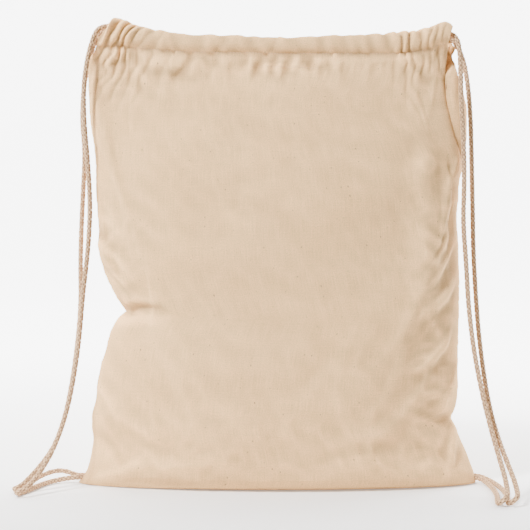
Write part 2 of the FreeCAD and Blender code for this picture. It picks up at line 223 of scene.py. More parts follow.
# a side and an up direction at each point, turned as little as possible from one to the next
def carryFrames(line):
    tangents = np.gradient(line, axis=0)
    tangents /= np.linalg.norm(tangents, axis=1)[:, None]
    side = np.cross(tangents[0], (0.31, 0.27, 0.91))
    sides = []
    for tangent in tangents:
        side = side - tangent * np.dot(side, tangent)
        side /= np.linalg.norm(side)
        sides.append(side.copy())
    sides = np.array(sides)
    return sides, np.cross(tangents, sides)


def addSpline(curve, points, tilts=None):
    spline = curve.splines.new("POLY")
    spline.points.add(len(points) - 1)
    spline.points.foreach_set("co", np.column_stack([points, np.ones(len(points))]).ravel())
    if tilts is not None:
        spline.points.foreach_set("tilt", tilts)


def toPiece(name, curve):
    holder = bpy.data.objects.new(name + "Curve", curve)
    mesh = bpy.data.meshes.new_from_object(holder)
    bpy.data.objects.remove(holder)
    mesh.name = name
    for polygon in mesh.polygons:
        polygon.use_smooth = True
    piece = bpy.data.objects.new(name, mesh)
    bpy.context.collection.objects.link(piece)
    return piece


# strands that wind both ways round a line and pass over and under each other, on a plain core
def braid(name, line, material, step, fullness):
    line, length = evenly(line, step * mm)
    sides, ups = carryFrames(line)
    along = np.linspace(0, length, len(line))
    outer = (cord["diameter"] * fullness - cord["strand"]) / 2 * mm
    half = cord["carriers"] // 2
    curve = bpy.data.curves.new(name, "CURVE")
    curve.dimensions = "3D"
    curve.bevel_mode = "ROUND"
    curve.bevel_depth = cord["strand"] / 2 * mm
    curve.bevel_resolution = 1
    curve.use_fill_caps = True
    for hand in (-1, 1):
        for number in range(half):
            turn = 2 * math.pi * number / half
            angle = hand * 2 * math.pi * along / (cord["pitch"] * mm) + turn
            crossings = half * (2 * math.pi * along / (cord["pitch"] * mm)) + math.pi * number
            lift = hand * np.cos(crossings) * cord["weaveDepth"] * mm
            radius = (outer - cord["weaveDepth"] * mm + lift)[:, None]
            strand = line + radius * (np.cos(angle)[:, None] * sides + np.sin(angle)[:, None] * ups)
            addSpline(curve, strand)
    piece = toPiece(name, curve)
    core = bpy.data.curves.new(name + "Core", "CURVE")
    core.dimensions = "3D"
    core.bevel_depth = cord["core"] * mm
    core.bevel_resolution = 2
    core.use_fill_caps = True
    addSpline(core, line[::2])
    inner = toPiece(name + "Core", core)
    for polygon in inner.data.polygons:
        polygon.material_index = 1
    joinInto(piece, [inner])
    markGrooves(piece, line)
    piece.data.materials.append(material)
    piece.data.materials.append(cordShade)
    return piece, line, length


# notes how far each point of a braid lies out from the line: low in the grooves, high on the crowns; the
# cord material paints the grooves dark with it as painted shade
def markGrooves(piece, line):
    tree = KDTree(len(line))
    for number, point in enumerate(line):
        tree.insert(point, number)
    tree.balance()
    tangents = np.gradient(line, axis=0)
    tangents /= np.linalg.norm(tangents, axis=1)[:, None]
    places = np.empty(len(piece.data.vertices) * 3)
    piece.data.vertices.foreach_get("co", places)
    places = places.reshape(-1, 3)
    nearest = np.array([tree.find(point)[1] for point in places])
    gap = places - line[nearest]
    gap -= tangents[nearest] * np.sum(gap * tangents[nearest], axis=1)[:, None]
    out = np.linalg.norm(gap, axis=1) / mm
    level = np.clip((out - 1.95) / 0.55, 0, 1)
    tone = piece.data.attributes.new("hollow", "FLOAT", "POINT")
    tone.data.foreach_set("value", level)


def joinInto(piece, others):
    bm = bmesh.new()
    bm.from_mesh(piece.data)
    for other in others:
        bm.from_mesh(other.data)
    bm.to_mesh(piece.data)
    bm.free()
    for other in others:
        mesh = other.data
        bpy.data.objects.remove(other)
        bpy.data.meshes.remove(mesh)
    for polygon in piece.data.polygons:
        polygon.use_smooth = True


cloth = {
    "width": 380, "thickness": 0.6, "columns": 256, "floor": 0.7,
    "slit": 378, "gatherStart": 352,
}

# depth of the full bag at each height, for the front and for the back
depths = {
    "front": [(0, 37), (1.5, 41), (4, 44.5), (9, 47.5), (20, 50), (50, 53), (110, 57), (170, 58),
              (240, 54), (300, 44), (340, 32), (370, 21.5), (392, 14.5), (408, 11), (440, 10)],
    "back": [(0, 37), (1.5, 41), (4, 44.5), (9, 47.5), (20, 50), (50, 53), (110, 57), (170, 58),
             (240, 54), (300, 45), (340, 34), (370, 23.5), (392, 15.5), (408, 11), (440, 10)],
}

# outermost x of the bag at each height, broken where the side folds in
outlines = {
    "left": [[(0, -190), (5, -186.5), (11, -182.5), (18, -180), (32, -177), (42, -175.7), (56, -177),
              (66, -176.6), (80, -173), (99, -171), (125, -164.5), (147, -157.5), (156, -152.5),
              (164, -145)],
             [(164, -145), (175, -152), (194, -161), (209, -166.5), (223, -169), (242, -170),
              (270, -171.5), (318, -173.5), (341, -177), (365, -178.5), (379, -179),
              (394, -178.5), (405, -177), (414, -172.5), (422, -167.5), (440, -162)]],
    "right": [[(0, 190), (10, 188), (18, 185), (28, 181.5), (42, 175), (56, 169), (63, 165)],
              [(63, 165), (70, 169), (80, 171.5), (118, 171), (147, 172), (194, 173), (223, 172),
               (256, 171), (270, 172), (288, 172.5), (297, 174.5), (318, 179), (347, 180.5),
               (370, 180), (385, 179.5), (397, 178.5), (406, 176), (417, 170), (427, 165), (440, 164)]],
}

# how far round towards the front the side seam lies, as a share of the front's width
seamShifts = {
    "left": [(0, 0), (340, 0), (378, 0.02), (440, 0.02)],
    "right": [(0, 0), (262, 0), (298, 0.04), (332, 0.125), (370, 0.17), (403, 0.15), (440, 0.06)],
}

# the casing's top edge and its row of stitches along x
rim = [(-171, 423), (-166, 431), (-161, 436), (-155, 437.5), (-146, 436.5), (-137, 432.5), (-121, 429.5),
       (-105, 427.5), (-93, 425.5), (-73, 424.5), (-36, 423.5), (7, 422), (50, 423.5), (93, 425),
       (117, 426), (131, 427.5), (140, 430), (150, 434.5), (157, 436.5), (162, 434), (167, 428), (172, 424)]
stitchRow = [(-170, 415), (-150, 414.5), (-125, 411.5), (-93, 409), (-36, 407.8), (7, 407), (50, 407),
             (93, 407), (117, 407.5), (140, 411), (152, 415), (170, 416)]

# creases: start x, start z, end x, end z, width, depth (outwards is positive)
creases = {
    "front": [
        (-92.8, 419, -64, 396, 4.5, -2.0), (-88, 416, -70, 402, 6, 1.2),
        (-149, 423, -160, 396, 6, 2.0), (-140, 420, -138, 396, 6, -1.6), (-131, 418, -122, 392, 5, 1.0),
        (-77.5, 411, -101, 381, 7, -1.6), (-128, 389, -76, 383, 7, -1.4), (-120, 396, -84, 392, 8, 1.4),
        (100, 408, 128, 394, 6, 1.6), (126, 394, 143, 377, 4, -1.8), (64, 405, 160, 402, 9, 1.4),
        (112, 420, 122, 398, 5, 1.4), (133, 420, 139, 400, 4.5, -1.4), (150, 425, 148, 396, 5, -1.6),
        (174, 322, 152, 277, 6, 1.6), (152, 277, 142, 215, 7, 1.4), (161, 305, 156, 200, 9, -3.8),
        (157, 242, 140, 210, 4, 1.8), (152, 236, 133, 205, 5, -1.6), (168, 233, 139, 193, 4.5, 2.2),
        (167, 222, 143, 186, 5, -1.8), (166, 197, 132, 164, 5, 2.0), (168, 186, 140, 158, 5, -1.6),
        (163, 150, 138, 120, 5, 1.6), (162, 138, 144, 112, 5, -1.4), (169, 112, 150, 70, 7, 1.6),
        (166, 64, 156, 12, 6, 1.8), (163, 66, 132, 74, 6, -1.6), (170, 58, 184, 10, 5, -1.2),
        (-146, 164, -104, 169, 3.5, -3.0), (-148, 170, -118, 178, 7, 2.4), (-150, 156, -112, 160, 7, 1.6),
        (-171, 239, -150, 212, 5, -2.2), (-168, 228, -133, 196, 6, 2.4), (-164, 205, -136, 178, 7, -2.0),
        (-150, 214, -141, 190, 5, 1.2), (-173, 255, -146, 238, 6, 1.2), (-152, 165, -116, 168, 15, -5.0),
        (-171, 94, -150, 66, 8, 1.6), (-176, 52, -140, 24, 9, -1.2), (-150, 70, -110, 40, 12, 1.0),
        (-60, 372, 60, 366, 18, 0.7), (-26, 408, -27, 394, 2.2, 1.5), (19, 408, 18, 392, 2.2, 1.3),
        (-27, 395.6, 42, 392.8, 1.6, -0.8), (-20, 391, 36, 386, 4, 1.0), (46, 406, 150, 403, 4, -0.9),
        (30, 40, 130, 52, 9, 0.4),
        (34, 30, 128, 38, 7, -0.7),
        (-120, 44, -60, 20, 12, -0.8), (-125, 34, -170, 8, 7, 1.2), (60, 140, 96, 100, 16, -0.7),
    ],
    "back": [
        (-120, 410, -90, 360, 8, 1.8), (-60, 404, -84, 352, 9, -1.6), (10, 405, 2, 360, 8, 1.4),
        (70, 408, 92, 356, 8, -1.6), (120, 410, 142, 372, 7, 1.8), (-146, 164, -96, 172, 4, -3.0),
        (-150, 172, -110, 186, 8, 2.2), (166, 64, 120, 74, 5, -2.4), (172, 150, 130, 190, 8, 1.6),
        (-168, 230, -120, 200, 7, -1.8), (-150, 60, -80, 40, 12, 1.2), (150, 40, 90, 24, 10, -1.0),
    ],
}


# a smooth curve through points, given as one list or as several that meet in corners
def smoothly(value, points):
    runs = points if isinstance(points[0], list) else [points]
    value = np.asarray(value, float)
    result = np.empty_like(value)
    for number, run in enumerate(runs):
        xs = np.array([point[0] for point in run], float)
        ys = np.array([point[1] for point in run], float)
        slopes = np.diff(ys) / np.diff(xs)
        weight = np.diff(xs)
        inner = (slopes[:-1] * weight[1:] + slopes[1:] * weight[:-1]) / (weight[1:] + weight[:-1])
        inner = np.where(slopes[:-1] * slopes[1:] <= 0, 0, inner)
        tangents = np.concatenate([[slopes[0]], inner, [slopes[-1]]])
        index = np.clip(np.searchsorted(xs, value, side="right") - 1, 0, len(xs) - 2)
        gap = xs[index + 1] - xs[index]
        t = np.clip((value - xs[index]) / gap, 0, 1)
        part = ((2 * t**3 - 3 * t**2 + 1) * ys[index] + (t**3 - 2 * t**2 + t) * gap * tangents[index]
                + (3 * t**2 - 2 * t**3) * ys[index + 1] + (t**3 - t**2) * gap * tangents[index + 1])
        if number == 0:
            result = part
        else:
            result = np.where(value >= xs[0], part, result)
    return result


def ease(value, low, high):
    t = np.clip((np.asarray(value, float) - low) / (high - low), 0, 1)
    return t * t * (3 - 2 * t)


def bulge(distance, width):
    return np.exp(-(distance / width) ** 2)


# smooth noise between about -1 and 1 over two coordinates in millimetres
def noiseField(first, second, size, seed):
    first, second = np.broadcast_arrays(first, second)
    flat = [noise.noise(Vector((a / size, b / size, seed * 7.31)))
            for a, b in zip(first.ravel(), second.ravel())]
    return np.array(flat).reshape(first.shape)


# points of one panel across the bag at one height, evenly spaced along the cloth
def sectionPoints(height, side, shares):
    left = float(smoothly(height, outlines["left"]))
    right = float(smoothly(height, outlines["right"]))
    depth = float(smoothly(height, depths[side]))
    power = 2 / (2.05 + 0.35 * float(ease(height, 10, 120)))
    leftShift = float(smoothly(height, seamShifts["left"])) * math.pi
    rightShift = float(smoothly(height, seamShifts["right"])) * math.pi
    if side == "front":
        angles = np.linspace(math.pi - leftShift, rightShift, 500)
    else:
        angles = np.linspace(math.pi - leftShift, 2 * math.pi + rightShift, 500)
    ends = depth if side == "front" else float(smoothly(height, depths["front"]))
    across = np.cos(angles)
    out = np.sin(angles)
    x = (left + right) / 2 + (right - left) / 2 * np.sign(across) * np.abs(across) ** power
    y = np.sign(out) * np.abs(out) ** power
    y = np.where(y > 0, -y * ends, -y * depth)
    line = np.stack([x, y], 1)
    along = np.concatenate([[0], np.cumsum(np.linalg.norm(np.diff(line, axis=0), axis=1))])
    wanted = shares * along[-1]
    return np.interp(wanted, along, x), np.interp(wanted, along, y), along[-1]


casing = {"centre": 10, "halfDepth": 5.6, "endDepth": 8.2, "recess": 26, "lean": 1.2, "front": 3.1,
          "ends": {"front": ((-170, -162), (160, 164)), "back": ((-171, -163), (171, 164))},
          "rows": 26}


# where each thread of the cloth lies along the casing: it is crowded towards both ends
def gatheredX(shares, side, turn=0.0):
    u = shares * 2 - 1
    crowd = u + 0.055 * np.sin(u * math.pi)
    recess = casing["recess"] * float(ease(turn, 0.45, 0.75))
    rise = float(ease(turn, 0, 0.5))
    (leftLow, leftTop), (rightLow, rightTop) = casing["ends"][side]
    left = leftLow + (leftTop - leftLow) * rise + recess
    right = rightLow + (rightTop - rightLow) * rise - recess
    return left + (right - left) * (crowd + 1) / 2


# a point of the casing: turn 0 is the stitch row outside, half a turn the top, 1 the hem inside
def casingLine(x, turn, side):
    top = smoothly(x, rim)
    low = smoothly(x, stitchRow)
    end = np.maximum(ease(-x, 120, 152), ease(x, 122, 156))
    depth = casing["halfDepth"] + (casing["endDepth"] - casing["halfDepth"]) * end
    angle = turn * 2 * math.pi
    narrow = 0.35 + 0.65 * ease(np.minimum(turn, 1 - turn), 0, 0.22)
    swell = np.sin(angle)
    reach = np.where(swell > 0, casing["front"] + depth - casing["halfDepth"], depth)
    y = -casing["centre"] - reach * swell * narrow + 0.9 * ease(turn, 0.8, 1)
    z = (top + low) / 2 - (top - low) / 2 * np.cos(angle) + 0.2 * ease(turn, 0.9, 1)
    y = y - casing["lean"] * (1 - np.cos(angle)) / 2
    return (y if side == "front" else -y), z


# gather folds across the cloth, crowded and deep at the ends, shallow and few in the middle
def foldPattern(threads, levels, seed):
    warped = threads + 5.5 * noiseField(threads, levels * 1.3, 17, seed + 5)
    warped = warped + 2.0 * noiseField(threads, levels, 7, seed + 7) + 0.35 * np.sign(threads) * levels
    warped = np.clip(warped, -190, 190)
    reach = np.abs(warped) / (cloth["width"] / 2)
    fine = np.linspace(-190, 190, 1521)
    fineReach = np.abs(fine) / 190
    spacing = 25 - 15 * ease(fineReach, 0.4, 0.85)
    wander = noiseField(fine, 0 * fine, 21, seed) * 0.6
    phase = np.cumsum((1 + wander) / spacing) * 0.25
    turns = np.interp(warped, fine, phase)
    valley = np.abs(np.sin(turns * math.pi)) ** 0.55
    depth = 0.6 + 2.7 * ease(reach, 0.45, 0.85)
    strength = np.clip(0.7 + 1.3 * noiseField(warped, levels * 0.5, 30, seed + 3), 0.1, 1.6)
    return (valley * 2 - 1.35) * depth * strength


# the whole of one panel, from the bottom seam up its wall and round the casing to the hem
def panelGrid(side, seed):
    count = cloth["columns"]
    even = np.linspace(-1, 1, count)
    shares = (even + 0.10 * np.sin(even * math.pi) + 1) / 2
    threads = (shares - 0.5) * cloth["width"]
    sign = -1 if side == "front" else 1
    rows = []
    lengths = []
    floorX, floorY = sectionPoints(0, side, shares)[:2]
    for share in np.linspace(0, 0.94, 14):
        x = floorX * share + (shares * 380 - 190) * (1 - share)
        rows.append(np.stack([x, floorY * share, np.full(count, 0.0)], 1))
    heights = np.concatenate([[0, 0.7, 1.8, 3.4, 5.4, 8], np.arange(11, 352, 3.0),
                              np.arange(352, 401, 2.6)])
    gathered = gatheredX(shares, side)
    low = smoothly(gathered, stitchRow)
    startY = casingLine(gathered, np.zeros(count), side)[0]
    for height in heights:
        x, y, length = sectionPoints(height, side, shares)
        lengths.append(length)
        edgeShare = np.abs(even) ** 6
        inner = ease(height, cloth["gatherStart"], 402) * (1 - edgeShare)
        amount = inner + ease(height, 388, 404) * edgeShare
        x = x * (1 - amount) + gathered * amount
        opened = ease(height, cloth["slit"], 404)
        y = y * (1 - opened) + (startY + sign * 1.0) * opened
        z = height + (low - 404.5) * ease(height, 330, 404)
        rows.append(np.stack([x, y, z], 1))
    for turn in np.linspace(0, 1, casing["rows"]):
        x = gatheredX(shares, side, turn)
        y, z = casingLine(x, np.full(count, turn), side)
        rows.append(np.stack([x, y, z], 1))
    grid = np.array(rows)
    info = {"shares": shares, "threads": threads, "floorRows": 14, "wallRows": len(heights),
            "turns": np.linspace(0, 1, casing["rows"]), "sign": sign, "seed": seed, "side": side,
            "low": low}
    print(side, "section lengths", [round(value) for value in lengths[::16]])
    return grid, info


def gridNormals(grid, sign):
    across = np.gradient(grid, axis=1)
    along = np.gradient(grid, axis=0)
    normal = np.cross(across, along) * -sign
    size = np.linalg.norm(normal, axis=2)[..., None]
    return normal / np.maximum(size, 1e-9)


def creaseField(grid, side):
    x = grid[..., 0]
    z = grid[..., 2]
    total = np.zeros(x.shape)
    for x0, z0, x1, z1, width, depth in creases[side]:
        dx = x1 - x0
        dz = z1 - z0
        size = math.hypot(dx, dz)
        along = ((x - x0) * dx + (z - z0) * dz) / size ** 2
        bend = 0.06 * size * np.sin(along * math.pi)
        off = ((x - x0) * dz - (z - z0) * dx) / size + bend
        inside = np.clip(along, 0, 1)
        past = np.abs(along - inside) * size
        taper = np.exp(-(past / (width * 1.2)) ** 2) * (0.35 + 0.65 * np.sin(inside * math.pi) ** 0.6)
        spread = width * (0.7 + 0.5 * inside) * np.where(off > 0, 0.55, 1.7)
        total += depth * taper / (1 + (off / spread) ** 2) ** 1.5
    return total


# sharp-edged creases of uneven direction, deepest down the right side and over the left fold
def crumpleField(x, z, seed, share):
    first = noiseField(x * 0.9 + z * 0.75, z * 0.5 - x * 0.35, 23, seed + 21)
    second = noiseField(x * 0.8 - z * 0.55, z * 0.9 + x * 0.5, 14, seed + 23)
    ridges = (1 - np.abs(first) * 2.2) * 2.4 + (1 - np.abs(second) * 2.2) * 1.2
    right = ease(x, 104, 150) * (1 - 0.75 * ease(z, 285, 325)) * share
    left = bulge(x + 165, 36) * bulge(z - 212, 46)
    top = 0.4 * ease(z, 330, 400) * (1 - ease(z, 404, 410)) * (0.35 + 0.65 * ease(-x, 0, 90))
    low = 0.22 * (1 - ease(z, 60, 110))
    return np.clip(ridges, -1.5, 4) * np.clip(right + left + top + low + 0.17, 0, 1)


# how deep each kind of unevenness of the cloth is, in millimetres
uneven = {
    "casing": 1.3, "stitched": 0.35, "broad": 3.4, "middle": 1.5, "fine": 0.45, "crease": 1.3,
    "crumple": 0.8, "pucker": 0.9, "shoulder": 6.0, "label": 4.4, "slit": 5.0,
}


# how far the cloth stands off its plain shape, in millimetres
def reliefField(grid, info):
    side = info["side"]
    seed = info["seed"]
    first = info["floorRows"]
    last = first + info["wallRows"]
    threads = np.broadcast_to(info["threads"], grid.shape[:2])
    x = grid[..., 0]
    z = grid[..., 2]
    reach = 15 + 16 * (noiseField(info["threads"], 0 * info["threads"], 16, seed + 9) * 0.5 + 0.5)
    below = info["low"][None, :] - z
    fade = np.exp(-np.clip(below, 0, None) / reach[None, :]) * ease(below, -2, 3)
    relief = np.zeros(x.shape)
    levels = -below
    levels[last:] = np.linspace(0, 42, len(info["turns"]))[:, None]
    folds = foldPattern(threads, levels, seed)
    relief[:last] += (folds * fade)[:last]
    turns = info["turns"][:, None]
    relief[last:] += folds[last:] * (0.5 + 0.5 * np.sin(turns * math.pi))
    loose = 0.35 + 0.6 * ease(np.abs(threads[last:]), 95, 165)
    relief[last:] = np.where(relief[last:] < 0, relief[last:] * loose, relief[last:])
    slant = threads[last:] + levels[last:] * 0.8
    relief[last:] += noiseField(slant, levels[last:] * 0.4, 9, seed + 6) * uneven["casing"]
    held = bulge(below[:last], 2.4)
    relief[:last] -= held * uneven["stitched"]
    wall = ease(z, 4, 30) * (1 - ease(z, 398, 408))
    edge = np.minimum(info["shares"], 1 - info["shares"])[None, :] * cloth["width"]
    calm = wall * (0.2 + 0.8 * ease(edge, 0, 34))
    relief[:last] += (noiseField(x, z, 95, seed + 1) * uneven["broad"] * calm)[:last]
    relief[:last] += (noiseField(x + z * 0.5, z - x * 0.35, 44, seed + 2) * uneven["middle"] * calm)[:last]
    relief[:last] += (noiseField(x * 0.8 + z * 0.4, z * 0.7, 15, seed + 4) * uneven["fine"] * wall)[:last]
    kept = ease(z, 1, 8) * (0.3 + 0.7 * ease(edge, 0, 20))
    relief[:last] += (creaseField(grid, side) * uneven["crease"] * kept)[:last]
    share = 1.0 if side == "front" else 0.45
    relief[:last] += (crumpleField(x, z, seed, share) * calm * uneven["crumple"])[:last]
    puckers = noiseField(0 * z, z, 5.5, seed + 8) + 0.6 * noiseField(0 * z, z, 2.6, seed + 10)
    beside = np.exp(-edge / 7) * ease(edge, 0, 2.5)
    relief[:last] += (puckers * uneven["pucker"] * beside * wall)[:last]
    shoulder = bulge(x - 137, 14) * ease(z, 150, 215) * (1 - ease(z, 300, 335))
    relief[:last] += (uneven["shoulder"] * shoulder)[:last]
    slack = bulge(x - 8, 42) * bulge(z - 395, 9)
    relief[:last] += (noiseField(x, z * 0.5, 7, seed + 12) * uneven["label"] * slack)[:last]
    dent = ease(z, 292, 330) * (1 - ease(z, 404, 418)) * (x > 0)
    relief[:last] -= (uneven["slit"] * dent * np.exp(-edge / 8))[:last]
    settle = ease(z, 0, 3.5)
    relief[:first] = 0
    relief[first:last] *= settle[first:last]
    return relief


def panelShape(side, seed):
    grid, info = panelGrid(side, seed)
    normals = gridNormals(grid, info["sign"])
    relief = reliefField(grid, info)
    shape = grid + normals * relief[..., None]
    shape[..., 2] = np.maximum(shape[..., 2], 0.0)
    rowLengths = np.linalg.norm(np.diff(grid, axis=0), axis=2)[:, grid.shape[1] // 2]
    info["along"] = np.concatenate([[0], np.cumsum(rowLengths)])
    info["hollows"] = hollows(relief)
    return shape, info


# how far each point lies in a hollow of the cloth (below 0.5) or on a ridge of it; the cloth material uses
# it to paint shade into the hollows and a little highlight onto the ridges
def hollows(relief):
    level = relief.copy()
    for reach in (2, 3):
        padded = np.pad(level, reach, mode="edge")
        rows, columns = relief.shape
        total = np.zeros(relief.shape)
        for a in range(2 * reach + 1):
            for b in range(2 * reach + 1):
                total += padded[a:a + rows, b:b + columns]
        level = total / (2 * reach + 1) ** 2
    return np.clip(0.5 + (relief - level) * 0.55, 0, 1)


# brings the two panels together along both side seams, up to the slits
def sewSides(front, back, info):
    edge = np.minimum(info["shares"], 1 - info["shares"]) * cloth["width"]
    for column, half in ((0, info["shares"] < 0.5), (-1, info["shares"] >= 0.5)):
        middle = (front[:, column] + back[:, column]) / 2
        sewn = (1 - ease(middle[:, 2], cloth["slit"] - 4, cloth["slit"] + 6))[:, None]
        pull = (np.exp(-(edge / 5) ** 2) * half)[None, :, None]
        front += ((middle - front[:, column]) * sewn)[:, None, :] * pull
        back += ((middle - back[:, column]) * sewn)[:, None, :] * pull


# how the cloth of a panel is let go between its seams
drape = {"frames": 18, "spare": 0.022, "bending": 1.6, "tension": 22, "cap": 2.8, "skip": 2}


# the wall of a panel is held along its seams and buckles in between, because the cloth is a little
# longer than the space; only the change of shape is carried to the fine grid
def letGo(shape, info):
    first = info["floorRows"] + 4
    last = info["floorRows"] + info["wallRows"]
    columns = np.arange(0, shape.shape[1], drape["skip"])
    if columns[-1] != shape.shape[1] - 1:
        columns = np.append(columns, shape.shape[1] - 1)
    coarse = shape[first:last][:, columns]
    rowCount, columnCount = coarse.shape[:2]
    bm = bmesh.new()
    bmesh.ops.create_grid(bm, x_segments=columnCount - 1, y_segments=rowCount - 1, size=1)
    bm.verts.ensure_lookup_table()
    for vertex, point in zip(bm.verts, coarse.reshape(-1, 3)):
        vertex.co = Vector(point) * mm
    mesh = bpy.data.meshes.new("drape")
    bm.to_mesh(mesh)
    bm.free()
    trial = bpy.data.objects.new("drape", mesh)
    bpy.context.collection.objects.link(trial)
    hold = np.zeros((rowCount, columnCount))
    hold[:2] = 1
    hold[-2:] = 1
    hold[:, :2] = 1
    hold[:, -2:] = 1
    pins = trial.vertex_groups.new(name="held")
    pins.add([int(index) for index in np.flatnonzero(hold.ravel())], 1.0, "ADD")
    fabric = trial.modifiers.new("fabric", "CLOTH")
    settings = fabric.settings
    settings.quality = 6
    settings.mass = 0.15
    settings.tension_stiffness = drape["tension"]
    settings.compression_stiffness = drape["tension"]
    settings.shear_stiffness = drape["tension"] * 0.4
    settings.bending_stiffness = drape["bending"]
    settings.vertex_group_mass = "held"
    settings.shrink_min = -drape["spare"]
    settings.shrink_max = -drape["spare"]
    settings.effector_weights.gravity = 0.15
    settings.use_pressure = True
    settings.uniform_pressure_force = 0.35
    fabric.point_cache.frame_start = 1
    fabric.point_cache.frame_end = drape["frames"]
    stage = bpy.context.scene
    for frameNumber in range(1, drape["frames"] + 1):
        stage.frame_set(frameNumber)
    settled = trial.evaluated_get(bpy.context.evaluated_depsgraph_get())
    places = np.empty(rowCount * columnCount * 3)
    settled.data.vertices.foreach_get("co", places)
    moved = places.reshape(rowCount, columnCount, 3) / mm - coarse
    size = np.linalg.norm(moved, axis=2)[..., None]
    print(info["side"], "panel moved by up to", round(float(size.max()), 1), "mm, on average",
          round(float(size.mean()), 2))
    moved *= np.tanh(size / drape["cap"]) * drape["cap"] / np.maximum(size, 1e-6)
    stage.frame_set(1)
    bpy.data.objects.remove(trial)
    bpy.data.meshes.remove(mesh)
    every = np.arange(shape.shape[1])
    edge = np.minimum(info["shares"], 1 - info["shares"])[columns] * cloth["width"]
    moved *= ease(edge, 0, 26)[None, :, None]
    spread = np.empty((rowCount, shape.shape[1], 3))
    for row in range(rowCount):
        for axis in range(3):
            spread[row, :, axis] = np.interp(every, columns, moved[row, :, axis])
    shape[first:last] += spread


def clothPiece(name, shape, info, material):
    side = info["side"]
    along = info["along"]
    flat = (cloth["width"] * mm, float(along[-1]) * mm)
    rowCount, columnCount = shape.shape[:2]
    bm = bmesh.new()
    layer = bm.loops.layers.uv.new("threads")
    tone = bm.verts.layers.float.new("hollow")
    bmesh.ops.create_grid(bm, x_segments=columnCount - 1, y_segments=rowCount - 1, size=1)
    lift = Vector((0, 0, cloth["floor"] * mm))
    levels = info["hollows"].ravel()
    for vertex, point, level in zip(bm.verts, shape.reshape(-1, 3), levels):
        vertex.co = Vector(point) * mm + lift
        vertex[tone] = level
    for face in bm.faces:
        face.smooth = True
        for loop in face.loops:
            row, column = divmod(loop.vert.index, columnCount)
            loop[layer].uv = ((info["threads"][column] + 300) * mm, (along[row] + 50) * mm)
    if side == "back":
        bmesh.ops.reverse_faces(bm, faces=bm.faces)
    mesh = bpy.data.meshes.new(name)
    bm.to_mesh(mesh)
    bm.free()
    piece = bpy.data.objects.new(name, mesh)
    bpy.context.collection.objects.link(piece)
    thicken = piece.modifiers.new("thickness", "SOLIDIFY")
    thicken.thickness = cloth["thickness"] * mm
    thicken.offset = -1
    mesh.materials.append(material)
    print(name, "faces", len(mesh.polygons), "flat", [round(value, 3) for value in flat])
    return piece, flat


def threadCoordinates(tree):
    uv = addNode(tree, "ShaderNodeUVMap", {"uv_map": "threads"})
    split = tree.nodes.new("ShaderNodeSeparateXYZ")
    tree.links.new(uv.socket, split.inputs[0])
    return uv, Wire(tree, split.outputs[0]), Wire(tree, split.outputs[1])


def stretchedNoise(tree, source, scales, detail, seed):
    mapping = addNode(tree, "ShaderNodeMapping", None,
                      {"Vector": source, "Scale": scales, "Location": (seed, seed * 0.7, 0)})
    return addNode(tree, "ShaderNodeTexNoise", None, {"Vector": mapping, "Scale": 1.0, "Detail": detail})


def makeCloth():
    material, tree, shader = newMaterial("undyedCotton", 0.9, 0.04)
    uv, across, along = threadCoordinates(tree)
    pitch = 0.00058
    wave = across * (math.pi / pitch)
    other = along * (math.pi / pitch)
    weave = wave.combine("SINE", wave, 0.0) * other.combine("SINE", other, 0.0)
    warp = stretchedNoise(tree, uv, (1500, 42, 1), 1.5, 3)
    weft = stretchedNoise(tree, uv, (38, 1500, 1), 1.5, 9)
    grain = stretchedNoise(tree, uv, (900, 900, 1), 2.0, 5)
    patches = stretchedNoise(tree, uv, (16, 16, 1), 3.0, 21)
    height = weave * 0.30 + warp * 0.9 + weft * 0.7 + grain * 0.5
    bump(tree, shader, height, 0.7, 0.0003)
    base = mixColours(tree, patches, (0.77, 0.47, 0.205), (0.86, 0.545, 0.25))
    streak = (warp - 0.5) * 0.42 + (weft - 0.5) * 0.2 + (grain - 0.5) * 0.7
    level = addNode(tree, "ShaderNodeCombineColor", None,
                    {0: streak + 1.0, 1: streak + 1.0, 2: streak * 1.15 + 1.0})
    toned = mixColours(tree, 1.0, base, level, "MULTIPLY")
    cells = addNode(tree, "ShaderNodeMapping", None, {"Vector": uv, "Scale": (150, 110, 1)})
    spots = tree.nodes.new("ShaderNodeTexVoronoi")
    spots.voronoi_dimensions = "2D"
    spots.inputs["Scale"].default_value = 1.0
    tree.links.new(cells.socket, spots.inputs["Vector"])
    distance = Wire(tree, spots.outputs["Distance"])
    split = tree.nodes.new("ShaderNodeSeparateColor")
    tree.links.new(spots.outputs["Color"], split.inputs[0])
    chosen = Wire(tree, split.outputs[0]) > 0.90
    small = 1.0 - (distance > Wire(tree, split.outputs[1]) * 0.07 + 0.035)
    fleck = chosen * small * (Wire(tree, split.outputs[2]) * 0.6 + 0.25)
    final = mixColours(tree, fleck, toned, (0.25, 0.14, 0.075))
    # painted shade: the cloth's colour is darkened in its hollows and creases, and lightened a little on
    # its ridges as painted highlight, from the hollow attribute
    hollow = addNode(tree, "ShaderNodeAttribute", {"attribute_name": "hollow"}, None, 2)
    shade = hollow * 0.5 + 0.73
    grey = addNode(tree, "ShaderNodeCombineColor", None, {0: shade, 1: shade * 0.98, 2: shade * 0.96})
    creaseShaded = mixColours(tree, 1.0, final, grey, "MULTIPLY")
    tree.links.new(creaseShaded.socket, shader.inputs["Base Color"])
    return material


